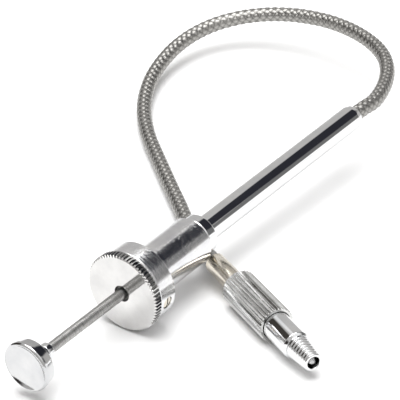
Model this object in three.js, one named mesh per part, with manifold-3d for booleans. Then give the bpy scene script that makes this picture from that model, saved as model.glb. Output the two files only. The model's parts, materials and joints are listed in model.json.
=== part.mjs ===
// Cable shutter release with a locking disc, in millimetres, +Z up, standing on z = 0.
// The handle lies along +X and rises slightly: thumb button at -X, guide tube at +X.
// The sheath leaves the guide tube, makes one loop, passes under the barrel and ends in the
// screw-in tip, which points towards -Y.
import * as THREE from 'three';
import { mergeVertices } from 'three/addons/utils/BufferGeometryUtils.js';
import Module from 'manifold-3d';

// ---- driving dimensions ----
const DISC_R = 7.15;             // knurled locking disc
const DISC_WIDTH = 1.84;
const DISC_HOLE_R = 1.45;
const DISC_EDGE = 0.25;          // bevel at both rims of the knurl
const DISC_TEETH = 68;
const TOOTH_DEPTH = 0.24;
const DRUM_R = 6.9;              // smooth drum behind the disc
const DRUM_END = 5.85;
const CAVITY_END = 3.1;          // front face of the drum's rear wall
const BARREL_R = 4.34;
const BARREL_END = 19.6;
const FLANGE_R = 5.2;            // flange that keeps the drum on the barrel
const FLANGE_START = 2.3;
const FLANGE_END = 2.85;
const LOCK_WASHER_R = 3.6;
const COLLAR_R = 3.72;
const COLLAR_END = 22.2;
const TUBE_R = 2.345;
const TUBE_BORE_R = 1.75;
const TUBE_START = 8.0;
const TUBE_END = 69.6;
const ROD_R = 0.94;
const BUTTON_R = 4.45;
const BUTTON_RIM = -25.2;        // where the rim of the button's dished face is
const BUTTON_BACK = -22.7;
const BUTTON_BACK_R = 4.2;       // the button tapers towards its back
const DISH_DEPTH = 0.6;
const DISH_FLAT_R = 1.4;         // flat middle of the dish
const BOSS_R = 1.85;
const BOSS_END = -20.6;
const CLAMP_R = 1.5;             // short collar that clamps the rod
const CLAMP_END = -19.2;
const SEAT_START = 9.6;          // spring seat on the rod
const SEAT_END = 11.4;
const STOP_START = 44.0;         // fixed ring at the other end of the spring
const STOP_END = 46.0;
const DRIVE_END = 52.0;          // end of the straight drive wire at rest
const SPRING_TURNS = 14;
const SPRING_WIRE_R = 0.2;
const SPRING_MEAN_R = 1.3;
const SCREW_R = 1.05;            // slotted screw in the drum
const SCREW_AT = 3.7;
const SCREW_ANGLE = 11;          // degrees below the horizontal, on the -Y side
const SCREW_FOOT = 5.4;          // how deep its inner end lies, from the axis
const GRIP_R = 3.19;             // ribbed grip of the tip
const GRIP_LENGTH = 13.6;
const GRIP_RIBS = 30;
const RIB_DEPTH = 0.26;
const GRIP_CAVITY_R = 2.6;
const SLEEVE_R = 1.85;           // plain sleeve crimped on the sheath
const SLEEVE_BORE_R = 1.65;
const SLEEVE_START = -8.5;
const TIP_BARREL_R = 2.5;
const TIP_BARREL_END = 20.7;
const TIP_BORE_R = 1.6;
const NOZZLE_END = 26.08;
const NOZZLE_BASE_R = 2.16;
const NOZZLE_TIP_R = 1.62;
const NOZZLE_BORE_R = 1.1;
const THREAD_TURNS = 7;
const THREAD_DEPTH = 0.24;
const PIN_R = 0.72;
const PIN_RECESS = 2.6;          // the pin rests this far inside the nozzle
const PIN_HEAD_START = 2.9;
const PIN_HEAD_END = 4.1;
const GRIP_WALL = 1.25;          // rear wall of the grip, which the swivel flange bears on
const SLEEVE_END = 1.3;
const TIP_BARREL_START = 2.6;
const SHEATH_R = 1.45;           // braided metal sheath
const SHEATH_INSIDE = 67.0;      // where the sheath starts, inside the guide tube
const FIT = 0.05;                // radial gap between pieces that are fixed to each other
const ROUND = 40;                // sides of the larger turned pieces
const SMALL = 24;                // sides of the small ones

// ---- where the two axes lie ----
const TILT = THREE.MathUtils.degToRad(2.5);         // the handle rises towards the tube
const TIP_HEADING = THREE.MathUtils.degToRad(-116.65);
const CENTRE_X = 22.2;           // middle of the handle, counted from the disc's face
const TIP_ACROSS = [18.44, -10.62];   // where the grip's rear face is, in x from the disc's face, and y
const AXIS_START = new THREE.Vector3(-CENTRE_X, 0, DISC_R * Math.cos(TILT) - DISC_EDGE * Math.sin(TILT));
const AXIS = new THREE.Vector3(Math.cos(TILT), 0, Math.sin(TILT));
const TIP_START = new THREE.Vector3(TIP_ACROSS[0] - CENTRE_X, TIP_ACROSS[1], GRIP_R);
const TIP_AXIS = new THREE.Vector3(Math.cos(TIP_HEADING), Math.sin(TIP_HEADING), 0);

const onHandle = (s) => AXIS.clone().multiplyScalar(s).add(AXIS_START);
const onTip = (s, rise = 0) => TIP_AXIS.clone().multiplyScalar(s).add(TIP_START).add(
  new THREE.Vector3(0, 0, rise),
);

// Free stretch of the sheath, from the guide tube round the loop to the tip, measured from the
// disc's face in x. It springs clear of the surface on the far side and lies on it on the near one.
const LOOP = [
  [76.2, 0.0, 10.2], [80.6, 1.1, 10.15], [85.0, 2.9, 10.0], [89.3, 5.4, 9.85], [93.2, 8.6, 9.65],
  [96.4, 12.4, 9.4], [98.9, 16.8, 9.15], [100.7, 21.6, 8.85], [101.7, 26.6, 8.5], [101.8, 31.6, 8.05],
  [101.1, 36.4, 7.5], [99.3, 40.9, 6.9], [96.5, 44.8, 6.2], [92.5, 47.8, 5.5], [87.5, 49.5, 4.8],
  [81.9, 49.9, 4.05], [76.5, 49.2, 3.3], [71.3, 47.7, 2.65], [66.4, 45.4, 2.1], [61.8, 42.5, 1.7],
  [57.4, 38.9, 1.52], [52.9, 34.5, 1.5], [48.7, 29.7, 1.5], [44.5, 24.8, 1.52], [40.2, 19.8, 1.56],
  [36.4, 15.3, 1.65], [33.4, 11.9, 1.75], [29.9, 7.7, 1.95], [26.7, 3.4, 2.35], [24.15, -0.1, 2.75],
];

// ---- materials ----
function metal(color, roughness, metalness = 1) {
  return new THREE.MeshStandardMaterial({ color, roughness, metalness });
}
const CHROME = () => metal(0xd9dadc, 0.08);
const KNURLED = () => metal(0xbfc0c2, 0.3);
const STEEL = () => metal(0xa9a8a5, 0.35);
const SPRING_STEEL = () => metal(0x8d8f92, 0.4);
const BRASS = () => metal(0xc2b28a, 0.28);
const BRAID = () => metal(0x9c9a97, 0.45);

// ---- shape helpers ----
function toSolid(geometry) {
  const bare = geometry.clone();
  bare.deleteAttribute('normal');
  bare.deleteAttribute('uv');
  const merged = mergeVertices(bare, 1e-5);
  const index = merged.index.array;
  const triangles = [];
  for (let i = 0; i < index.length; i += 3) {
    const [a, b, c] = [index[i], index[i + 1], index[i + 2]];
    if (a !== b && b !== c && c !== a) triangles.push(a, b, c);
  }
  return new wasm.Manifold(new wasm.Mesh({
    numProp: 3,
    vertProperties: new Float32Array(merged.attributes.position.array),
    triVerts: new Uint32Array(triangles),
  }));
}

function toGeometry(solid) {
  const mesh = solid.getMesh();
  const geometry = new THREE.BufferGeometry();
  geometry.setAttribute('position', new THREE.BufferAttribute(mesh.vertProperties, 3));
  geometry.setIndex(new THREE.BufferAttribute(mesh.triVerts, 1));
  geometry.computeVertexNormals();
  return geometry;
}

// A turned piece. The profile is a list of [place along the axis, radius]: along the outside first,
// then back along the bore if there is one.
function turned(profile, segments = ROUND) {
  const points = profile.map(([s, r]) => new THREE.Vector2(r, s));
  const solidEnds = points[0].x === 0 && points[points.length - 1].x === 0;
  if (!solidEnds) points.push(points[0].clone());
  return new THREE.LatheGeometry(points, segments);
}

function ring(start, end, outer, bore, segments = ROUND, edge = 0) {
  return turned([
    [start, bore], [start, outer - edge], [start + edge, outer], [end - edge, outer],
    [end, outer - edge], [end, bore],
  ].filter((point, i) => edge > 0 || (i !== 2 && i !== 3)), segments);
}

// A straight-knurled ring: V-shaped ribs along the axis, cut back by a turned envelope at its rims.
function ribbed(start, end, outer, depth, count, edge, bore) {
  const shape = new THREE.Shape();
  for (let i = 0; i < 2 * count; i += 1) {
    const angle = (i * Math.PI) / count;
    const radius = i % 2 === 0 ? outer : outer - depth;
    const [x, y] = [radius * Math.cos(angle), radius * Math.sin(angle)];
    if (i === 0) shape.moveTo(x, y);
    else shape.lineTo(x, y);
  }
  shape.closePath();
  const ribs = new THREE.ExtrudeGeometry(shape, { depth: end - start, bevelEnabled: false, steps: 1 });
  ribs.rotateX(-Math.PI / 2);
  ribs.translate(0, start, 0);
  const envelope = turned([
    [start - 1, bore], [start - 1, outer - edge - 1], [start + edge, outer + 0.02],
    [end - edge, outer + 0.02], [end + 1, outer - edge - 1], [end + 1, bore],
  ], ROUND + SMALL);
  return toGeometry(toSolid(ribs).intersect(toSolid(envelope)));
}

// A direction across the handle: 0 points straight down, 90 points to -Y.
function across(degrees) {
  const angle = THREE.MathUtils.degToRad(degrees);
  return new THREE.Vector3(Math.cos(angle), 0, Math.sin(angle));
}

const group = new THREE.Group();

// The group's local +Y runs along the given axis, and local +X points down.
function axisGroup(start, axis) {
  const holder = new THREE.Group();
  const side = new THREE.Vector3(0, 0, 1).cross(axis).normalize().negate();
  const down = new THREE.Vector3().crossVectors(axis, side);
  holder.quaternion.setFromRotationMatrix(new THREE.Matrix4().makeBasis(down, axis, side));
  holder.position.copy(start);
  group.add(holder);
  return holder;
}

function add(parent, name, geometry, material) {
  const mesh = new THREE.Mesh(geometry, material);
  mesh.name = name;
  parent.add(mesh);
  return mesh;
}

const wasm = await Module();
wasm.setup();
const handle = axisGroup(AXIS_START, AXIS);
const tip = axisGroup(TIP_START, TIP_AXIS);

// ---- plunger: button, rod and the straight drive wire ----
function plunger() {
  const middle = BUTTON_RIM + DISH_DEPTH;
  add(handle, 'thumb_button', turned([
    [middle, 0], [middle, DISH_FLAT_R], [middle - 0.09, 2.4], [middle - 0.27, 3.3],
    [BUTTON_RIM, 4.15], [BUTTON_RIM + 0.1, 4.33], [BUTTON_RIM + 0.35, BUTTON_R],
    [BUTTON_RIM + 0.75, BUTTON_R], [BUTTON_BACK - 0.15, BUTTON_BACK_R],
    [BUTTON_BACK, BUTTON_BACK_R - 0.2], [BUTTON_BACK, 0],
  ]), CHROME());
  const bossStart = BUTTON_BACK + FIT;
  add(handle, 'button_boss', turned([
    [bossStart, ROD_R + FIT], [bossStart, BOSS_R + 0.5], [bossStart + 0.55, BOSS_R],
    [BOSS_END - 0.3, BOSS_R], [BOSS_END, BOSS_R - 0.3], [BOSS_END, ROD_R + FIT],
  ], SMALL), CHROME());
  add(handle, 'rod_clamp_collar',
    ring(BOSS_END + FIT, CLAMP_END, CLAMP_R, ROD_R + FIT, SMALL, 0.2), CHROME());
  add(handle, 'plunger_rod', turned([
    [bossStart, 0], [bossStart, ROD_R], [SEAT_END, ROD_R], [SEAT_END, 0],
  ], SMALL), STEEL());
  add(handle, 'spring_seat',
    ring(SEAT_START, SEAT_END, TUBE_BORE_R - 0.1, ROD_R + FIT, SMALL, 0.15), STEEL());
  add(handle, 'drive_wire', turned([
    [SEAT_END + FIT, 0], [SEAT_END + FIT, 0.7], [DRIVE_END - 0.3, 0.7], [DRIVE_END, 0.4],
    [DRIVE_END, 0],
  ], 16), SPRING_STEEL());
}

// ---- locking disc, which turns on the front of the barrel ----
function lock() {
  const disc = ribbed(0, DISC_WIDTH, DISC_R, TOOTH_DEPTH, DISC_TEETH, DISC_EDGE, DISC_HOLE_R);
  add(handle, 'lock_disc', disc, KNURLED());

  const drum = turned([
    [DISC_WIDTH + FIT, FLANGE_R + 0.15], [DISC_WIDTH + FIT, DRUM_R - 0.1], [DISC_WIDTH + 0.2, DRUM_R],
    [DRUM_END - 0.35, DRUM_R], [DRUM_END, DRUM_R - 0.35], [DRUM_END, BARREL_R + 0.1],
    [CAVITY_END, BARREL_R + 0.1], [CAVITY_END, FLANGE_R + 0.15],
  ]);
  const outward = across(90 - SCREW_ANGLE);
  const turn = new THREE.Quaternion().setFromUnitVectors(new THREE.Vector3(0, 1, 0), outward);
  const screwPlace = (geometry) => geometry.applyQuaternion(turn).translate(0, SCREW_AT, 0);
  const drill = screwPlace(turned([[3, 0], [3, SCREW_R + FIT], [8, SCREW_R + FIT], [8, 0]], SMALL));
  add(handle, 'lock_drum', toGeometry(toSolid(drum).subtract(toSolid(drill))), CHROME());

  const head = turned([
    [SCREW_FOOT, 0], [SCREW_FOOT, SCREW_R], [DRUM_R - 0.25, SCREW_R], [DRUM_R - 0.1, SCREW_R - 0.15],
    [DRUM_R - 0.1, 0],
  ], SMALL);
  const slot = new THREE.BoxGeometry(4, 0.9, 0.28).translate(0, DRUM_R, 0);
  add(handle, 'drum_screw', screwPlace(toGeometry(toSolid(head).subtract(toSolid(slot)))), CHROME());

  add(handle, 'lock_washer',
    ring(DISC_WIDTH + 0.1, FLANGE_START - 0.1, LOCK_WASHER_R, ROD_R + 0.1, SMALL), STEEL());
  add(handle, 'wave_washer',
    ring(FLANGE_END + FIT, CAVITY_END - FIT, FLANGE_R, BARREL_R + 0.25), SPRING_STEEL());
}

// ---- fixed part of the handle ----
function body() {
  add(handle, 'barrel', turned([
    [FLANGE_START, TUBE_R + FIT], [FLANGE_START, FLANGE_R], [FLANGE_END, FLANGE_R],
    [FLANGE_END, BARREL_R],
    [BARREL_END - 0.3, BARREL_R], [BARREL_END, BARREL_R - 0.3], [BARREL_END, TUBE_R + FIT],
  ]), CHROME());
  add(handle, 'rod_bush', ring(FLANGE_START, TUBE_START - 0.3, TUBE_R, ROD_R + FIT, SMALL), BRASS());
  add(handle, 'barrel_collar',
    ring(BARREL_END + FIT, COLLAR_END, COLLAR_R, TUBE_R + FIT, ROUND, 0.25), CHROME());
  add(handle, 'guide_tube', turned([
    [TUBE_START, TUBE_BORE_R], [TUBE_START, TUBE_R], [TUBE_END - 1.6, TUBE_R],
    [TUBE_END - 0.8, TUBE_R - 0.12], [TUBE_END - 0.25, TUBE_R - 0.35], [TUBE_END, SHEATH_R + 0.35],
    [TUBE_END, SHEATH_R + 0.1], [TUBE_END - 1.2, SHEATH_R + 0.1], [TUBE_END - 1.6, TUBE_BORE_R],
  ]), CHROME());
  add(handle, 'spring_stop_ring', ring(STOP_START, STOP_END, TUBE_BORE_R - FIT, 0.85, SMALL), STEEL());

  const springStart = SEAT_END + SPRING_WIRE_R + FIT;
  const springEnd = STOP_START - SPRING_WIRE_R - FIT;
  const coil = new THREE.Curve();
  coil.getPoint = (t) => {
    const angle = t * SPRING_TURNS * 2 * Math.PI;
    const along = springStart + t * (springEnd - springStart);
    return new THREE.Vector3(SPRING_MEAN_R * Math.cos(angle), along, SPRING_MEAN_R * Math.sin(angle));
  };
  const wire = new THREE.Shape().absarc(0, 0, SPRING_WIRE_R, 0, 2 * Math.PI);
  add(handle, 'return_spring', new THREE.ExtrudeGeometry(wire, {
    extrudePath: coil, steps: SPRING_TURNS * 8, curveSegments: 2, bevelEnabled: false,
  }), SPRING_STEEL());
}

// ---- sheath and the pieces crimped to its far end ----
function cable() {
  const route = [
    onHandle(SHEATH_INSIDE), onHandle(TUBE_END), onHandle(TUBE_END + 3),
    ...LOOP.map(([x, y, z]) => new THREE.Vector3(x - CENTRE_X, y, z)),
    onTip(SLEEVE_START, -0.16), onTip(SLEEVE_START + 2, -0.04), onTip(SLEEVE_START + 4), onTip(-0.8),
  ];
  const path = new THREE.CatmullRomCurve3(route, false, 'centripetal');
  const section = new THREE.Shape();
  for (let i = 0; i < 8; i += 1) {
    const angle = (i * Math.PI) / 4;
    const [x, y] = [SHEATH_R * Math.cos(angle), SHEATH_R * Math.sin(angle)];
    if (i === 0) section.moveTo(x, y);
    else section.lineTo(x, y);
  }
  section.closePath();
  add(group, 'cable_sheath', new THREE.ExtrudeGeometry(section, {
    extrudePath: path, steps: 44, bevelEnabled: false,
  }), BRAID());

  add(tip, 'tip_sleeve',
    ring(SLEEVE_START, SLEEVE_END, SLEEVE_R, SLEEVE_BORE_R, SMALL, 0.08), BRASS());
  add(tip, 'swivel_flange', ring(1.35, 2.15, GRIP_CAVITY_R - 0.1, 0.9, SMALL), BRASS());
  add(tip, 'swivel_washer', ring(2.22, 2.48, GRIP_CAVITY_R - 0.15, 1.2, SMALL), STEEL());
}

// ---- tip, which turns on the sleeve ----
function screwTip() {
  const outside = toSolid(ribbed(0, GRIP_LENGTH, GRIP_R, RIB_DEPTH, GRIP_RIBS, 0.25, SLEEVE_R + 0.1));
  const cavity = toSolid(turned([
    [GRIP_WALL, 0], [GRIP_WALL, GRIP_CAVITY_R], [GRIP_LENGTH + 1, GRIP_CAVITY_R], [GRIP_LENGTH + 1, 0],
  ], ROUND));
  add(tip, 'knurled_grip', toGeometry(outside.subtract(cavity)), KNURLED());

  add(tip, 'tip_barrel', turned([
    [TIP_BARREL_START, TIP_BORE_R], [TIP_BARREL_START, TIP_BARREL_R],
    [TIP_BARREL_END - 0.35, TIP_BARREL_R],
    [TIP_BARREL_END, TIP_BARREL_R - 0.35], [TIP_BARREL_END, NOZZLE_BORE_R],
    [TIP_BARREL_END - 1.0, NOZZLE_BORE_R], [TIP_BARREL_END - 1.0, TIP_BORE_R],
  ]), CHROME());

  const start = TIP_BARREL_END + FIT;
  const neck = start + 0.5;
  const pitch = (NOZZLE_END - 0.3 - neck) / THREAD_TURNS;
  const profile = [[start, NOZZLE_BORE_R], [start, NOZZLE_BASE_R - 0.3], [neck, NOZZLE_BASE_R - 0.3]];
  for (let i = 0; i < THREAD_TURNS; i += 1) {
    const along = i / THREAD_TURNS;
    const crest = NOZZLE_BASE_R + (NOZZLE_TIP_R - NOZZLE_BASE_R) * along;
    profile.push([neck + (i + 0.5) * pitch, crest], [neck + (i + 1) * pitch, crest - THREAD_DEPTH]);
  }
  profile.push([NOZZLE_END, NOZZLE_TIP_R - 0.1], [NOZZLE_END, NOZZLE_BORE_R]);
  add(tip, 'threaded_nozzle', turned(profile, SMALL), CHROME());
}

function pin() {
  add(tip, 'pin_head', ring(PIN_HEAD_START, PIN_HEAD_END, TIP_BORE_R - 0.1, PIN_R + FIT, SMALL), STEEL());
  const end = NOZZLE_END - PIN_RECESS;
  add(tip, 'release_pin', turned([
    [PIN_HEAD_START, 0], [PIN_HEAD_START, PIN_R], [end - 0.25, PIN_R], [end, PIN_R - 0.25], [end, 0],
  ], SMALL), STEEL());
}

plunger();
lock();
body();
cable();
screwTip();
pin();

export default group;
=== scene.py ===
"""Cable shutter release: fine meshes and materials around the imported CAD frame. Metres, +Z up."""

import json
import math

import bpy
import numpy as np
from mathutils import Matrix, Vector


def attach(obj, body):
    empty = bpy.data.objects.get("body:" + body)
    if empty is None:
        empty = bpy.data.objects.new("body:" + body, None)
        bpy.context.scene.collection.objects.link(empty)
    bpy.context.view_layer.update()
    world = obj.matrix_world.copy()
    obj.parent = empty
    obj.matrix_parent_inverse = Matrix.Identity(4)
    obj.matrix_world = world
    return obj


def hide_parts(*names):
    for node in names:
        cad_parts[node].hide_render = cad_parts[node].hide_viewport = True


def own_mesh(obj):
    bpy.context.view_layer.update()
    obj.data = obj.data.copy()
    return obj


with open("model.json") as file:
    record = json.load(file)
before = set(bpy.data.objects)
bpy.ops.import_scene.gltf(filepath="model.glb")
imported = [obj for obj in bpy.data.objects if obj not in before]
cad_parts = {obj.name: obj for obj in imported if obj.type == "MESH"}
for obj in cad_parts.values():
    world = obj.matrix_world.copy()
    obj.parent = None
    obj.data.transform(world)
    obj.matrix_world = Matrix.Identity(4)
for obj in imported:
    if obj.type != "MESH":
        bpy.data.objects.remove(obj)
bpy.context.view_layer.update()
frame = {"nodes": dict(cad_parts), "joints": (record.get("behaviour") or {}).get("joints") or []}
MM = 0.001
TAU = 2 * math.pi


def node_points(node):
    return np.array([v.co for v in frame["nodes"][node].data.vertices])


# ---- the two axes that everything is turned on, read from the frame ----
class Axis:
    """A line with a start and a direction. Angles around it count from its downward side."""

    def __init__(self, start, along):
        self.start = Vector(start)
        self.along = Vector(along).normalized()
        self.side = Vector((0, 0, 1)).cross(self.along).normalized()
        self.down = self.along.cross(self.side) * -1

    def point(self, s, r=0.0, angle=0.0):
        """The point s mm along and r mm out from the axis, in metres."""
        out = self.down * math.cos(angle) + self.side * math.sin(angle)
        return self.start + self.along * (s * MM) + out * (r * MM)

    def span(self, node):
        """(start, end, outer radius, bore radius) of a CAD node on this axis, in mm."""
        co = node_points(node) - np.array(self.start)
        s = co @ np.array(self.along)
        r = np.linalg.norm(co - np.outer(s, np.array(self.along)), axis=1)
        return s.min() / MM, s.max() / MM, r.max() / MM, r.min() / MM


def joint_axis(name):
    row = next(j for j in frame["joints"] if j["name"] == name)
    return Axis(row["pos_m"], row["axis"])


HANDLE = joint_axis("lock_turn")
TIP = joint_axis("tip_swivel")


# ---- mesh helpers ----
SHARP_DEG = 35                  # edges sharper than this are not smoothed over


def make_object(name, verts, faces, uvs, sharp_deg=SHARP_DEG):
    """A mesh object with its faces turned outward, smooth shaded, sharp over sharp_deg."""
    verts = np.asarray(verts, float)
    volume = 0.0
    for face in faces:
        corners = verts[list(face)]
        for k in range(1, len(face) - 1):
            volume += np.dot(corners[0], np.cross(corners[k], corners[k + 1]))
    if volume < 0:
        faces = [tuple(reversed(f)) for f in faces]
        uvs = [tuple(reversed(u)) for u in uvs]
    mesh = bpy.data.meshes.new(name)
    mesh.from_pydata([tuple(v) for v in verts], [], faces)
    layer = mesh.uv_layers.new(name="turned")
    layer.data.foreach_set("uv", np.array([c for u in uvs for c in u], np.float32).ravel())
    mesh.polygons.foreach_set("use_smooth", np.ones(len(mesh.polygons), bool))
    mesh.set_sharp_from_angle(angle=math.radians(sharp_deg))
    mesh.validate()
    obj = bpy.data.objects.new(name, mesh)
    bpy.context.scene.collection.objects.link(obj)
    return obj


def grid_faces(rings, around, close_rings):
    """Quads and (turn, ring) coordinates of a grid that closes around, and along if asked."""
    faces, places = [], []
    for i in range(rings if close_rings else rings - 1):
        k = (i + 1) % rings
        for j in range(around):
            n = (j + 1) % around
            faces.append((i * around + j, i * around + n, k * around + n, k * around + j))
            places.append(((j, i), (j + 1, i), (j + 1, i + 1), (j, i + 1)))
    return faces, places


def revolve(name, axis, profile, around=96, shape=None, sharp_deg=SHARP_DEG):
    """Turns a profile of (s, r) points in mm about an axis. Ends on the axis are closed there, and a
    profile that doesn't reach it closes on itself. shape(angles, s, r) may change a ring's radii."""
    profile = [(float(s), float(r)) for s, r in profile]
    poles = profile[0][1] == 0, profile[-1][1] == 0
    rings = profile[1 if poles[0] else 0 : len(profile) - (1 if poles[1] else 0)]
    angles = np.arange(around) * TAU / around
    down, side = np.array(axis.down), np.array(axis.side)
    start, along = np.array(axis.start), np.array(axis.along)
    out = np.cos(angles)[:, None] * down + np.sin(angles)[:, None] * side
    verts = []
    for s, r in rings:
        radii = np.full(around, r) if shape is None else shape(angles, s, r)
        verts.append(start + along * s * MM + out * (radii * MM)[:, None])
    verts = np.concatenate(verts)
    closed = not poles[0] and not poles[1]
    faces, places = grid_faces(len(rings), around, closed)
    heights = [s for s, _ in rings] + [rings[0][0]]
    uvs = [tuple((j / around, heights[i]) for j, i in place) for place in places]
    for at_end, pole in enumerate(poles):
        if not pole:
            continue
        s = profile[-1][0] if at_end else profile[0][0]
        base = (len(rings) - 1) * around if at_end else 0
        centre = len(verts)
        verts = np.vstack([verts, start + along * s * MM])
        for j in range(around):
            n = (j + 1) % around
            order = (base + j, base + n, centre)
            places = ((j / around, s), ((j + 1) / around, s), ((j + 0.5) / around, s))
            faces.append(order if at_end else order[::-1])
            uvs.append(places if at_end else places[::-1])
    return make_object(name, verts, faces, uvs, sharp_deg)


def rounded(corners, steps=5):
    """(s, r, fillet) corners to (s, r) points, each corner with a fillet of that radius in mm.
    The profile is open if it starts and ends on the axis, and closed otherwise."""
    count = len(corners)
    is_open = corners[0][1] == 0 and corners[-1][1] == 0
    points = []
    for i, corner in enumerate(corners):
        here = Vector(corner[:2])
        fillet = corner[2] if len(corner) > 2 else 0
        if fillet <= 0 or (is_open and i in (0, count - 1)):
            points.append(tuple(here))
            continue
        before = Vector(corners[i - 1][:2]) - here
        after = Vector(corners[(i + 1) % count][:2]) - here
        angle = before.angle(after)
        reach = min(fillet / math.tan(angle / 2), 0.49 * before.length, 0.49 * after.length)
        radius = reach * math.tan(angle / 2)
        one, two = here + before.normalized() * reach, here + after.normalized() * reach
        middle = here + (before.normalized() + after.normalized()).normalized() * (
            radius / math.sin(angle / 2)
        )
        a, b = one - middle, two - middle
        begin = math.atan2(a.y, a.x)
        sweep = (math.atan2(b.y, b.x) - begin + math.pi) % TAU - math.pi
        for k in range(steps + 1):
            turned = begin + sweep * k / steps
            points.append((middle.x + radius * math.cos(turned), middle.y + radius * math.sin(turned)))
    return points


def refine(points, longest):
    """Splits the long stretches of a profile, so that a shape along it has points to work on."""
    out = []
    for i, (s, r) in enumerate(points):
        t, q = points[(i + 1) % len(points)]
        out.append((s, r))
        parts = int(math.hypot(t - s, q - r) / longest) + 1
        out += [(s + (t - s) * k / parts, r + (q - r) * k / parts) for k in range(1, parts)]
    return out


def cut(obj, cutter):
    """Takes the cutter away from obj, and removes the cutter."""
    tool = obj.modifiers.new("cut", "BOOLEAN")
    tool.operation = "DIFFERENCE"
    tool.solver = "EXACT"
    tool.object = cutter
    result = bpy.data.meshes.new_from_object(obj.evaluated_get(bpy.context.evaluated_depsgraph_get()))
    obj.modifiers.clear()
    obj.data = result
    obj.data.materials.clear()
    result.polygons.foreach_set("use_smooth", np.ones(len(result.polygons), bool))
    result.set_sharp_from_angle(angle=math.radians(SHARP_DEG))
    bpy.data.objects.remove(cutter)


# ---- materials ----
def new_material(name):
    material = bpy.data.materials.new(name)
    material.use_nodes = True
    tree = material.node_tree
    return material, tree, tree.nodes["Principled BSDF"]


def node(tree, kind, **settings):
    item = tree.nodes.new(kind)
    for key, value in settings.items():
        setattr(item, key, value)
    return item


def mapped_noise(tree, coordinate, scale, detail=3.0, rough=0.6):
    """Noise on object or turned coordinates, stretched by scale along each of their axes."""
    source = node(tree, "ShaderNodeTexCoord")
    mapping = node(tree, "ShaderNodeMapping")
    mapping.inputs["Scale"].default_value = scale
    noise = node(tree, "ShaderNodeTexNoise")
    noise.inputs["Scale"].default_value = 1.0
    noise.inputs["Detail"].default_value = detail
    noise.inputs["Roughness"].default_value = rough
    tree.links.new(source.outputs[coordinate], mapping.inputs["Vector"])
    tree.links.new(mapping.outputs["Vector"], noise.inputs["Vector"])
    return noise.outputs["Fac"]


def ranged(tree, value, low, high, out_low, out_high):
    item = node(tree, "ShaderNodeMapRange")
    item.inputs["From Min"].default_value = low
    item.inputs["From Max"].default_value = high
    item.inputs["To Min"].default_value = out_low
    item.inputs["To Max"].default_value = out_high
    tree.links.new(value, item.inputs["Value"])
    return item.outputs["Result"]


def tinted(tree, value, dark, light):
    ramp = node(tree, "ShaderNodeValToRGB")
    ramp.color_ramp.elements[0].color = (*dark, 1)
    ramp.color_ramp.elements[1].color = (*light, 1)
    tree.links.new(value, ramp.inputs["Fac"])
    return ramp.outputs["Color"]


def bumped(tree, shader, height, distance, strength, before=None):
    bump = node(tree, "ShaderNodeBump")
    bump.inputs["Strength"].default_value = strength
    bump.inputs["Distance"].default_value = distance
    tree.links.new(height, bump.inputs["Height"])
    if before is not None:
        tree.links.new(before, bump.inputs["Normal"])
    tree.links.new(bump.outputs["Normal"], shader.inputs["Normal"])
    return bump.outputs["Normal"]


def turned_metal(name, dark, light, rough, spread, mark_depth, marks=22.0, coordinate="UV"):
    """Plated metal off a lathe: fine rings around the axis, soft smudges, a little colour drift."""
    material, tree, shader = new_material(name)
    shader.inputs["Metallic"].default_value = 1.0
    smudge = mapped_noise(tree, "Object", (260, 260, 260), 4.0)
    rings = mapped_noise(tree, coordinate, (3.0, marks, 1.0), 5.0, 0.75)
    tree.links.new(tinted(tree, ranged(tree, smudge, 0.35, 0.68, 0, 1), dark, light),
                   shader.inputs["Base Color"])
    tree.links.new(ranged(tree, smudge, 0.38, 0.7, rough, rough + spread), shader.inputs["Roughness"])
    bumped(tree, shader, rings, mark_depth * MM, 0.5)
    return material


def scratched_steel(name):
    """Bare steel rod: fine scratches that cross it at random angles."""
    material, tree, shader = new_material(name)
    shader.inputs["Metallic"].default_value = 1.0
    cross = mapped_noise(tree, "UV", (2.0, 9.0, 1.0), 6.0, 0.85)
    fine = mapped_noise(tree, "Object", (2600, 5200, 5200), 3.0, 0.7)
    tree.links.new(tinted(tree, ranged(tree, cross, 0.42, 0.58, 0, 1), (0.52, 0.51, 0.50),
                          (0.97, 0.97, 0.96)), shader.inputs["Base Color"])
    tree.links.new(ranged(tree, cross, 0.3, 0.7, 0.24, 0.42), shader.inputs["Roughness"])
    first = bumped(tree, shader, cross, 0.022 * MM, 0.8)
    bumped(tree, shader, fine, 0.002 * MM, 0.6, before=first)
    return material


CHROME = turned_metal("chrome_plate", (0.71, 0.72, 0.73), (0.79, 0.79, 0.79), 0.04, 0.05, 0.003)
BRUSHED = turned_metal("chrome_turned", (0.66, 0.66, 0.68), (0.76, 0.76, 0.76), 0.09, 0.08, 0.085, 2.4)
# A darker copy of the chrome, for the thumb button.
BUTTON = turned_metal("chrome_darker", (0.56, 0.565, 0.575), (0.65, 0.65, 0.65), 0.05, 0.05, 0.003)
DISC = turned_metal("disc_nickel", (0.60, 0.595, 0.59), (0.69, 0.685, 0.675), 0.05, 0.06, 0.002)
NICKEL = turned_metal("knurled_nickel", (0.58, 0.58, 0.57), (0.71, 0.71, 0.70), 0.20, 0.10, 0.004)
WARM = turned_metal("warm_nickel", (0.56, 0.51, 0.43), (0.73, 0.69, 0.61), 0.14, 0.12, 0.008)
STEEL = scratched_steel("scratched_steel")
SPRING = turned_metal("spring_wire", (0.30, 0.30, 0.31), (0.46, 0.46, 0.47), 0.3, 0.15, 0.004,
                      coordinate="Object")
INNER = turned_metal("inner_steel", (0.44, 0.44, 0.44), (0.60, 0.60, 0.59), 0.28, 0.15, 0.006,
                     marks=900.0, coordinate="Object")


# ---- the braided sheath ----
STRANDS = 5                     # in each direction
BRAID_PITCH = 1.5 * STRANDS     # mm along the sheath for one turn of a strand
BRAID_DEPTH = 0.17              # mm between the strands' crowns and the crossings
WIRES = 5                       # fine wires side by side in a strand
SHEATH_AROUND = 64
SHEATH_STEP = 0.15              # mm between the rings of the mesh


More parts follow.
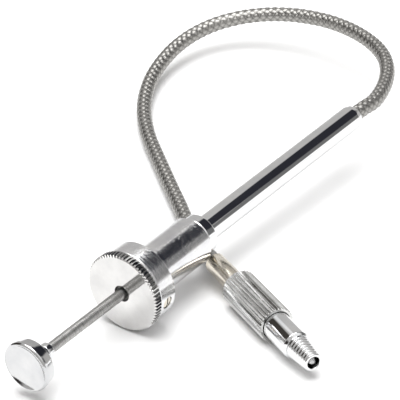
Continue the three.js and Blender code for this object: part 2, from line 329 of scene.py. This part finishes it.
def braid_material():
    """Tinned wire braid: each strand is a few fine wires, with painted shade in the grooves between the
    strands.
    """
    material, tree, shader = new_material("metal_braid")
    shader.inputs["Metallic"].default_value = 1.0
    grain = mapped_noise(tree, "Object", (900, 900, 900), 4.0)
    source = node(tree, "ShaderNodeTexCoord")
    split = node(tree, "ShaderNodeSeparateXYZ")
    tree.links.new(source.outputs["UV"], split.inputs[0])

    def calc(kind, a, b=0.0):
        item = node(tree, "ShaderNodeMath", operation=kind)
        for k, value in enumerate((a, b)):
            if isinstance(value, (int, float)):
                item.inputs[k].default_value = value
            else:
                tree.links.new(value, item.inputs[k])
        return item.outputs[0]

    turn = calc("MULTIPLY", split.outputs["X"], STRANDS)
    run = calc("MULTIPLY", split.outputs["Y"], STRANDS / BRAID_PITCH)
    one, two = calc("ADD", turn, run), calc("SUBTRACT", turn, run)
    sine = calc("MULTIPLY", calc("SINE", calc("MULTIPLY", one, math.pi)),
                calc("SINE", calc("MULTIPLY", two, math.pi)))
    top = calc("GREATER_THAN", sine, 0.0)
    across = calc("ADD", calc("MULTIPLY", one, top), calc("MULTIPLY", two, calc("SUBTRACT", 1.0, top)))
    wires = calc("ABSOLUTE", calc("SINE", calc("MULTIPLY", across, WIRES * math.pi)))
    # Painted shade: the base colour darkens towards the grooves between the strands.
    painted_gap_shade = calc("POWER", calc("ABSOLUTE", sine), 0.35)
    shade = calc("MULTIPLY", painted_gap_shade, ranged(tree, grain, 0.3, 0.7, 0.75, 1.0))
    tree.links.new(tinted(tree, shade, (0.14, 0.137, 0.13), (0.44, 0.43, 0.41)),
                   shader.inputs["Base Color"])
    tree.links.new(ranged(tree, grain, 0.3, 0.7, 0.26, 0.42), shader.inputs["Roughness"])
    bumped(tree, shader, wires, 0.03 * MM, 0.7)
    return material


BRAID = braid_material()

# Route of the sheath, in mm from the lock disc's face in x, as the CAD lays it.
FACE_X = HANDLE.start.x
LOOP = [
    (76.2, 0.0, 10.2), (80.6, 1.1, 10.15), (85.0, 2.9, 10.0), (89.3, 5.4, 9.85), (93.2, 8.6, 9.65),
    (96.4, 12.4, 9.4), (98.9, 16.8, 9.15), (100.7, 21.6, 8.85), (101.7, 26.6, 8.5), (101.8, 31.6, 8.05),
    (101.1, 36.4, 7.5), (99.3, 40.9, 6.9), (96.5, 44.8, 6.2), (92.5, 47.8, 5.5), (87.5, 49.5, 4.8),
    (81.9, 49.9, 4.05), (76.5, 49.2, 3.3), (71.3, 47.7, 2.65), (66.4, 45.4, 2.1), (61.8, 42.5, 1.7),
    (57.4, 38.9, 1.52), (52.9, 34.5, 1.5), (48.7, 29.7, 1.5), (44.5, 24.8, 1.52), (40.2, 19.8, 1.56),
    (36.4, 15.3, 1.65), (33.4, 11.9, 1.75), (29.9, 7.7, 1.95), (26.7, 3.4, 2.35), (24.15, -0.1, 2.75),
]
SHEATH_INSIDE = 67.0            # where the sheath starts, inside the guide tube
SHEATH_R = 1.45


def lifted(point, rise):
    return point + Vector((0, 0, rise * MM))


def sheath_route():
    tube_end = HANDLE.span("guide_tube")[1]
    sleeve = TIP.span("tip_sleeve")[0]
    return (
        [HANDLE.point(SHEATH_INSIDE), HANDLE.point(tube_end), HANDLE.point(tube_end + 3)]
        + [Vector((FACE_X + x * MM, y * MM, z * MM)) for x, y, z in LOOP]
        + [lifted(TIP.point(sleeve), -0.16), lifted(TIP.point(sleeve + 2), -0.04),
           TIP.point(sleeve + 4), TIP.point(-0.8)]
    )


def mixed(p, q, from_knot, to_knot, t):
    return (p * (to_knot - t) + q * (t - from_knot)) / (to_knot - from_knot)


CURVE_PARTS = 60                # points on the line between two route points


def smooth_line(points, step):
    """A centripetal Catmull-Rom line through the points, resampled every step metres."""
    ends = [points[0] * 2 - points[1], *points, points[-1] * 2 - points[-2]]
    fine = []
    for a, b, c, d in zip(ends, ends[1:], ends[2:], ends[3:]):
        k0 = 0.0
        k1 = k0 + math.sqrt((b - a).length)
        k2 = k1 + math.sqrt((c - b).length)
        k3 = k2 + math.sqrt((d - c).length)
        for part in range(CURVE_PARTS):
            t = k1 + (k2 - k1) * part / CURVE_PARTS
            ab, bc, cd = mixed(a, b, k0, k1, t), mixed(b, c, k1, k2, t), mixed(c, d, k2, k3, t)
            abc, bcd = mixed(ab, bc, k0, k2, t), mixed(bc, cd, k1, k3, t)
            fine.append(mixed(abc, bcd, k1, k2, t))
    fine.append(points[-1])
    fine = np.array(fine)
    run = np.concatenate([[0], np.cumsum(np.linalg.norm(np.diff(fine, axis=0), axis=1))])
    places = np.linspace(0, run[-1], int(round(run[-1] / step)) + 1)
    return np.stack([np.interp(places, run, fine[:, k]) for k in range(3)], 1), run[-1]


def sheath():
    line, length = smooth_line(sheath_route(), SHEATH_STEP * MM)
    tangent = np.gradient(line, axis=0)
    tangent /= np.linalg.norm(tangent, axis=1)[:, None]
    # Carry a side vector along the line without twist.
    side = np.zeros_like(line)
    side[0] = np.array(HANDLE.side)
    for i in range(1, len(line)):
        v = side[i - 1] - tangent[i] * np.dot(side[i - 1], tangent[i])
        side[i] = v / np.linalg.norm(v)
    over = np.cross(tangent, side)
    run = np.arange(len(line)) * length / MM / (len(line) - 1)
    angles = np.arange(SHEATH_AROUND) * TAU / SHEATH_AROUND
    turn, along = np.meshgrid(angles / TAU, run)
    one = STRANDS * (turn + along / BRAID_PITCH)
    two = STRANDS * (turn - along / BRAID_PITCH)
    top = np.sin(math.pi * one) * np.sin(math.pi * two) > 0
    across = np.where(top, np.abs(np.sin(math.pi * one)), np.abs(np.sin(math.pi * two)))
    length_way = np.where(top, np.abs(np.sin(math.pi * two)), np.abs(np.sin(math.pi * one)))
    crown = across**0.55 * (0.35 + 0.65 * length_way**0.8)
    radius = (SHEATH_R - BRAID_DEPTH * (1 - crown)) * MM
    ring = (
        np.cos(angles)[None, :, None] * side[:, None, :]
        + np.sin(angles)[None, :, None] * over[:, None, :]
    )
    verts = (line[:, None, :] + ring * radius[:, :, None]).reshape(-1, 3)
    faces, places = grid_faces(len(line), SHEATH_AROUND, False)
    uvs = [tuple((j / SHEATH_AROUND, run[i]) for j, i in place) for place in places]
    last = (len(line) - 1) * SHEATH_AROUND
    faces.append(tuple(range(SHEATH_AROUND))[::-1])
    uvs.append(tuple((0.0, 0.0) for _ in range(SHEATH_AROUND)))
    faces.append(tuple(last + j for j in range(SHEATH_AROUND)))
    uvs.append(tuple((0.0, 0.0) for _ in range(SHEATH_AROUND)))
    obj = make_object("braided_sheath", verts, faces, uvs, 75)
    obj.data.materials.append(BRAID)
    return obj, line[::10], length


# ---- camera ----
CAMERA_PLACE = (-0.31216, -0.22886, 0.24164)
CAMERA_YAW = 36.27              # degrees from +X towards +Y
CAMERA_DOWN = 30.39
CAMERA_LENS = 237.6             # mm on a 36 mm wide sensor


def camera():
    data = bpy.data.cameras.new("camera")
    data.lens = CAMERA_LENS
    data.sensor_width = 36.0
    data.sensor_fit = "HORIZONTAL"
    data.clip_start = 0.01
    data.clip_end = 20.0
    obj = bpy.data.objects.new("camera", data)
    obj.location = CAMERA_PLACE
    obj.rotation_euler = (
        math.radians(90 - CAMERA_DOWN), 0, math.radians(CAMERA_YAW - 90),
    )
    bpy.context.scene.collection.objects.link(obj)
    bpy.context.scene.camera = obj


camera()
sheath_obj, sheath_line, sheath_length = sheath()


# ---- pieces ----
def piece(obj, material, body, slot, *nodes):
    obj.data.materials.append(material)
    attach(obj, body)
    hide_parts(*nodes)
    return obj


def ribs(outer, depth, count, steep):
    """Radii of a straight knurl of V grooves, capped by the profile that it is cut into."""

    def shape(angles, s, r):
        place = angles * count / TAU % 1.0
        wave = np.clip(steep * (1 - np.abs(2 * place - 1)), 0, 1)
        return np.minimum(r, outer - depth + depth * wave)

    return shape


DISH_DEPTH = 0.6                # mm, of the thumb button's dished face
DISH_FLAT = 2.3                 # mm, radius of its flat middle
DISH_CURVE = 1.9                # how late the dish rises: 1 is a cone
DISH_RINGS = 16


def radius_at(name, s):
    """Largest radius in mm of a CAD node's vertices near one place along the handle."""
    offset = node_points(name) - np.array(HANDLE.start)
    place = offset @ np.array(HANDLE.along)
    radius = np.linalg.norm(offset - np.outer(place, np.array(HANDLE.along)), axis=1)
    return radius[np.abs(place / MM - s) < 0.05].max() / MM


def plunger():
    s0, s1, r, _ = HANDLE.span("thumb_button")
    # A dished face: flat in the middle, then rising ever more steeply to the rounded rim.
    rim, back_r = r - 0.28, radius_at("thumb_button", s1)
    face = [(s0 + DISH_DEPTH, 0), (s0 + DISH_DEPTH, DISH_FLAT)]
    for k in range(1, DISH_RINGS + 1):
        out = k / DISH_RINGS
        face.append((s0 + DISH_DEPTH * (1 - out**DISH_CURVE), DISH_FLAT + (rim - DISH_FLAT) * out))
    edge = rounded([(s0 + DISH_DEPTH, rim - 1.0), (s0 - 0.04, rim, 0.16), (s0 + 0.3, r, 0.35),
                    (s0 + 0.75, r, 0.25), (s1, back_r + 0.1, 0.3), (s1, back_r - 1.0)], 8)
    button = revolve("thumb_button_cap", HANDLE, face + edge[1:] + [(s1, 0)], 144)
    piece(button, BUTTON, "plunger", "polished_chrome", "thumb_button")

    s0, s1, r, bore = HANDLE.span("button_boss")
    boss = revolve("button_boss_turned", HANDLE, rounded(
        [(s0, bore, 0), (s0, r, 0.1), (s0 + 0.65, r - 0.5, 0.3), (s1, r - 0.55, 0.25), (s1, bore, 0)]), 96)
    piece(boss, CHROME, "plunger", "polished_chrome", "button_boss")

    s0, s1, r, bore = HANDLE.span("rod_clamp_collar")
    collar = revolve("rod_collar_turned", HANDLE, rounded(
        [(s0, bore, 0), (s0, r, 0.15), (s1, r, 0.3), (s1, bore, 0.05)]), 96)
    piece(collar, CHROME, "plunger", "polished_chrome", "rod_clamp_collar")

    s0, s1, r, _ = HANDLE.span("plunger_rod")
    rod = revolve("plunger_rod_drawn", HANDLE,
                  [(s0, 0), *refine([(s0, r), (s1, r)], 0.5)[:-1], (s1, r), (s1, 0)], 64)
    piece(rod, STEEL, "plunger", "scratched_steel", "plunger_rod")


DISC_TEETH = 68
TOOTH_DEPTH = 0.36
SLOT_WIDTH = 0.28               # mm, of the slot in the drum's screw
SLOT_DEPTH = 0.5


def lock():
    s0, s1, r, bore = HANDLE.span("lock_disc")
    profile = rounded([
        (s0, bore, 0.1), (s0, r - 0.34, 0.05), (s0 + 0.3, r, 0.05), (s1 - 0.22, r, 0.05),
        (s1, r - 0.26, 0.05), (s1, bore, 0.1)], 4)
    disc = revolve("lock_disc_knurled", HANDLE, refine(profile, 0.3), DISC_TEETH * 10,
                   ribs(r, TOOTH_DEPTH, DISC_TEETH, 1.25), 30)
    piece(disc, DISC, "lock", "knurled_nickel", "lock_disc")

    s0, s1, r, bore = HANDLE.span("lock_drum")
    flange = HANDLE.span("barrel")[2] + 0.15
    wall = HANDLE.span("wave_washer")[1] + 0.05
    drum = revolve("lock_drum_turned", HANDLE, rounded([
        (s0, flange), (s0, r - 0.1, 0.06), (s0 + 0.12, r, 0.06), (s1 - 0.32, r, 0.15),
        (s1, r - 0.32, 0.12), (s1, bore, 0.05), (wall, bore), (wall, flange)], 6), 176)

    # The slotted screw lies square to the axis; its own axis goes through its middle.
    middle = node_points("drum_screw").mean(axis=0)
    along = (Vector(middle) - HANDLE.start).dot(HANDLE.along) / MM
    screw_axis = Axis(HANDLE.point(along), Vector(middle) - HANDLE.point(along))
    foot, top, screw_r, _ = screw_axis.span("drum_screw")
    drill = revolve("screw_drill", screw_axis, rounded(
        [(foot - 1.2, 0), (foot - 1.2, screw_r + 0.06), (r - 0.12, screw_r + 0.06), (r + 1, screw_r + 0.9),
         (r + 1, 0)]), 64)
    cut(drum, drill)
    piece(drum, BRUSHED, "lock", "polished_chrome", "lock_drum")

    screw = revolve("drum_screw_slotted", screw_axis, rounded([
        (foot, 0), (foot, screw_r), (top - 0.12, screw_r, 0.12), (top, 0.3 * screw_r, 0.4),
        (top, 0)], 8), 64)
    cut(screw, slab(screw_axis, top, SLOT_WIDTH / 2, SLOT_DEPTH, 1.5))
    piece(screw, WARM, "lock", "polished_chrome", "drum_screw")


def slab(axis, top, half_width, depth, reach):
    """A flat bar square to an axis and to the handle, to cut a screw's slot with. Sizes in mm."""
    across = HANDLE.along.cross(axis.along).normalized()
    corners = []
    for t in (-1, 1):
        for w in (-1, 1):
            for h in (top - depth, top + depth):
                corners.append(axis.point(h) + across * (t * reach * MM)
                               + HANDLE.along * (w * half_width * MM))
    faces = [(0, 1, 3, 2), (4, 6, 7, 5), (0, 4, 5, 1), (2, 3, 7, 6), (0, 2, 6, 4), (1, 5, 7, 3)]
    return make_object("slot_cutter", corners, faces, [((0, 0),) * 4] * 6)


def body():
    s0, s1, r, bore = HANDLE.span("barrel")
    neck = HANDLE.span("lock_drum")[3] - 0.1
    barrel = revolve("barrel_turned", HANDLE, rounded([
        (s0, bore, 0), (s0, r, 0.1), (s0 + 0.55, r, 0.1), (s0 + 0.55, neck, 0.05),
        (s1 - 0.25, neck, 0.1), (s1, neck - 0.25, 0.08), (s1, bore, 0.05)]), 160)
    piece(barrel, BRUSHED, "handle", "polished_chrome", "barrel")

    s0, s1, r, bore = HANDLE.span("barrel_collar")
    collar = revolve("barrel_collar_turned", HANDLE, rounded([
        (s0, bore, 0), (s0, r - 0.1, 0.1), (s0 + 0.5, r, 0.1), (s1, r, 0.4), (s1, bore, 0.05)]), 128)
    piece(collar, CHROME, "handle", "polished_chrome", "barrel_collar")

    s0, s1, r, bore = HANDLE.span("guide_tube")
    inner = HANDLE.span("spring_stop_ring")[2] + 0.05
    tube = revolve("guide_tube_drawn", HANDLE, rounded([
        (s0, inner, 0), (s0, r, 0.1), (s1 - 1.4, r, 1.5), (s1 - 0.35, r - 0.22, 0.4),
        (s1, bore + 0.2, 0.15), (s1, bore, 0.05), (s1 - 1.2, bore, 0.1), (s1 - 1.6, inner, 0.1)], 7), 128)
    piece(tube, CHROME, "handle", "polished_chrome", "guide_tube")


GRIP_RIBS = 30
RIB_DEPTH = 0.25
GRIP_WALL = 1.25                # mm, rear wall of the grip


def tip():
    s0, s1, r, bore = TIP.span("tip_sleeve")
    sleeve = revolve("tip_sleeve_plain", TIP, rounded([
        (s0, bore, 0.05), (s0, r, 0.12), (s1, r, 0.05), (s1, bore, 0.05)]), 96)
    piece(sleeve, WARM, "handle", "sleeve_nickel", "tip_sleeve")

    s0, s1, r, bore = TIP.span("knurled_grip")
    cavity = TIP.span("swivel_flange")[2] + 0.1
    profile = rounded([
        (s0, bore, 0.1), (s0, r - 0.3, 0.1), (s0 + 0.3, r, 0.1), (s1 - 0.1, r, 0.05),
        (s1, r - 0.1, 0.05), (s1, cavity, 0.05), (s0 + GRIP_WALL, cavity, 0.05),
        (s0 + GRIP_WALL, bore, 0.05)], 4)
    grip = revolve("grip_ribbed", TIP, refine(profile, 0.6), GRIP_RIBS * 20,
                   ribs(r, RIB_DEPTH, GRIP_RIBS, 1.15), 30)
    piece(grip, NICKEL, "screw_tip", "knurled_nickel", "knurled_grip")

    s0, s1, r, bore = TIP.span("tip_barrel")
    inner = TIP.span("pin_head")[2] + 0.1
    barrel = revolve("tip_barrel_turned", TIP, rounded([
        (s0, inner, 0), (s0, r, 0.1), (s1 - 0.4, r, 0.25), (s1, r - 0.4, 0.1), (s1, bore, 0.05),
        (s1 - 1.0, bore, 0), (s1 - 1.0, inner, 0)]), 128)
    piece(barrel, CHROME, "screw_tip", "polished_chrome", "tip_barrel")
    nozzle()

    s0, s1, r, _ = TIP.span("release_pin")
    pin = revolve("release_pin_round", TIP, rounded(
        [(s0, 0), (s0, r, 0.05), (s1, r, 0.3), (s1, 0)], 7), 64)
    piece(pin, CHROME, "pin", "scratched_steel", "release_pin")


THREAD_TURNS = 7
THREAD_DEPTH = 0.22
NOZZLE_BASE_R = 2.16            # mm, over the thread's crests
NOZZLE_TIP_R = 1.62
NOZZLE_RINGS = 150


def nozzle():
    """Tapered nozzle with a real helical thread that runs out at both ends."""
    s0, s1, _, bore = TIP.span("threaded_nozzle")
    thread_start, thread_end = s0 + 0.35, s1 - 0.12
    pitch = (thread_end - thread_start) / THREAD_TURNS

    def shape(angles, s, radius):
        if radius <= bore + 0.01:
            return np.full(len(angles), radius)
        turn = (s - thread_start) / pitch - angles / TAU
        off_crest = np.abs((turn % 1.0) - 0.5) * 2
        groove = THREAD_DEPTH * np.clip(2.1 * off_crest - 1.1, 0, 1)
        fade = np.clip((s - thread_start) / 0.3, 0, 1) * np.clip((s1 - s) / 0.3, 0, 1)
        return radius - groove * fade

    outside = list(zip(np.linspace(thread_start, thread_end, NOZZLE_RINGS + 1),
                       np.linspace(NOZZLE_BASE_R, NOZZLE_TIP_R, NOZZLE_RINGS + 1)))
    neck = NOZZLE_BASE_R - 0.32
    profile = (
        [(s0, bore), (s0, neck), (s0 + 0.25, neck)]
        + outside
        + [(s1 - 0.04, NOZZLE_TIP_R - 0.1), (s1, NOZZLE_TIP_R - 0.18), (s1, bore + 0.08),
           (s1 - 0.08, bore)]
        + [(s, bore) for s in np.linspace(s1 - 0.5, s0 + 0.5, 8)]
    )
    obj = revolve("nozzle_threaded", TIP, profile, 96, shape, 50)
    piece(obj, CHROME, "screw_tip", "polished_chrome", "threaded_nozzle")


SPRING_TURNS = 14
SPRING_STEPS = 24               # rings of the wire's mesh in a turn
WIRE_AROUND = 10


def spring():
    """The return spring's wire, as one fixed coil. The real one closes up towards its fixed ring as the
    plunger goes in.
    """
    s0, s1, outer, bore = HANDLE.span("return_spring")
    mean, wire = (outer + bore) / 2, (outer - bore) / 2
    rings, around = SPRING_TURNS * SPRING_STEPS + 1, WIRE_AROUND
    verts, run = [], []
    for i in range(rings):
        turn = i / (rings - 1)
        s = s0 + wire + (s1 - s0 - 2 * wire) * turn
        for j in range(around):
            angle = TAU * j / around
            verts.append(HANDLE.point(s + wire * math.sin(angle), mean + wire * math.cos(angle),
                                      TAU * SPRING_TURNS * turn))
        run.append(TAU * mean * SPRING_TURNS * turn)
    faces, places = grid_faces(rings, around, False)
    uvs = [tuple((j / around, run[i]) for j, i in place) for place in places]
    last = (rings - 1) * around
    faces += [tuple(range(around))[::-1], tuple(last + j for j in range(around))]
    uvs += [((0.0, 0.0),) * around] * 2
    coil = make_object("return_spring_coil", verts, faces, uvs)
    piece(coil, SPRING, "handle", "spring_steel", "return_spring")
    tuple(HANDLE.point(s1))
    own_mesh(coil)


plunger()
lock()
body()
spring()
tip()

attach(sheath_obj, "handle")
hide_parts("cable_sheath")
exit_point = HANDLE.point(HANDLE.span("guide_tube")[1])

CAD_MATERIALS = {
    "spring_seat": INNER, "drive_wire": INNER, "lock_washer": INNER, "wave_washer": SPRING,
    "rod_bush": WARM, "spring_stop_ring": INNER, "swivel_flange": WARM,
    "swivel_washer": INNER, "pin_head": INNER,
}
for name, material in CAD_MATERIALS.items():
    mesh = frame["nodes"][name].data
    mesh.materials.clear()
    mesh.materials.append(material)


# ---- floor, light and surroundings ----
FLOOR_REACH = 3.0               # metres from the middle to each side
FLOOR_PARTS = 24
FLOOR_Z = -0.0001


def floor():
    side = FLOOR_PARTS + 1
    places = np.linspace(-FLOOR_REACH, FLOOR_REACH, side)
    verts = [(x, y, FLOOR_Z) for y in places for x in places]
    corners = [j * side + i for j in range(FLOOR_PARTS) for i in range(FLOOR_PARTS)]
    faces = [(k, k + 1, k + side + 1, k + side) for k in corners]
    mesh = bpy.data.meshes.new("floor")
    mesh.from_pydata(verts, [], faces)
    obj = bpy.data.objects.new("floor", mesh)
    bpy.context.scene.collection.objects.link(obj)
    material, _, shader = new_material("floor_white")
    shader.inputs["Base Color"].default_value = (0.93, 0.93, 0.93, 1)
    shader.inputs["Roughness"].default_value = 0.9
    shader.inputs["Specular IOR Level"].default_value = 0.1
    mesh.materials.append(material)


def soft_light(name, place, aim, size, power):
    data = bpy.data.lights.new(name, "AREA")
    data.shape = "DISK"
    data.size = size
    data.energy = power
    obj = bpy.data.objects.new(name, data)
    obj.location = place
    obj.rotation_euler = (Vector(aim) - Vector(place)).to_track_quat("-Z", "Y").to_euler()
    bpy.context.scene.collection.objects.link(obj)


# The studio that the metal reflects. Each patch has a direction, the angles in degrees where it is
# full and where it has faded out, and a colour. Dark ones are flags, light ones white cards. A
# later patch lies over an earlier one.
STUDIO_BASE = (0.60, 0.59, 0.58)
STUDIO = [
    ((0.00, 0.00, 1.00), 22, 40, (2.20, 2.20, 2.20)),
    ((0.00, -0.62, 0.78), 14, 34, (1.10, 1.10, 1.10)),
    ((0.697, -0.633, 0.337), 10, 14, (0.20, 0.20, 0.20)),
    ((0.70, -0.22, 0.68), 20, 26, (0.030, 0.031, 0.040)),
    ((-0.08, 0.90, 0.36), 20, 27, (0.060, 0.054, 0.048)),
    ((0.35, 0.64, 0.68), 5, 10, (0.95, 0.95, 0.95)),
    ((0.60, -0.78, -0.20), 18.5, 20.5, (1.50, 1.50, 1.50)),
    ((-1.00, -0.05, 0.10), 14, 30, (0.04, 0.035, 0.035)),
]


def surroundings():
    world = bpy.data.worlds.new("studio")
    bpy.context.scene.world = world
    world.use_nodes = True
    tree = world.node_tree
    source = node(tree, "ShaderNodeTexCoord")
    colour = node(tree, "ShaderNodeRGB")
    colour.outputs[0].default_value = (*STUDIO_BASE, 1)
    colour = colour.outputs[0]
    for direction, full, end, shade in STUDIO:
        dot = node(tree, "ShaderNodeVectorMath", operation="DOT_PRODUCT")
        dot.inputs[1].default_value = Vector(direction).normalized()
        tree.links.new(source.outputs["Generated"], dot.inputs[0])
        fade = node(tree, "ShaderNodeMapRange", interpolation_type="SMOOTHSTEP")
        fade.inputs["From Min"].default_value = math.cos(math.radians(end))
        fade.inputs["From Max"].default_value = math.cos(math.radians(full))
        tree.links.new(dot.outputs["Value"], fade.inputs["Value"])
        mix = node(tree, "ShaderNodeMix", data_type="RGBA")
        tree.links.new(fade.outputs["Result"], mix.inputs["Factor"])
        tree.links.new(colour, mix.inputs["A"])
        mix.inputs["B"].default_value = (*shade, 1)
        colour = mix.outputs["Result"]
    background = tree.nodes["Background"]
    tree.links.new(colour, background.inputs["Color"])
    background.inputs["Strength"].default_value = 1.0


floor()
surroundings()
soft_light("overhead", place=(0.0, 0.06, 0.62), aim=(0.02, 0.0, 0.0), size=0.6, power=3.0)
bpy.context.scene.view_settings.view_transform = "Standard"
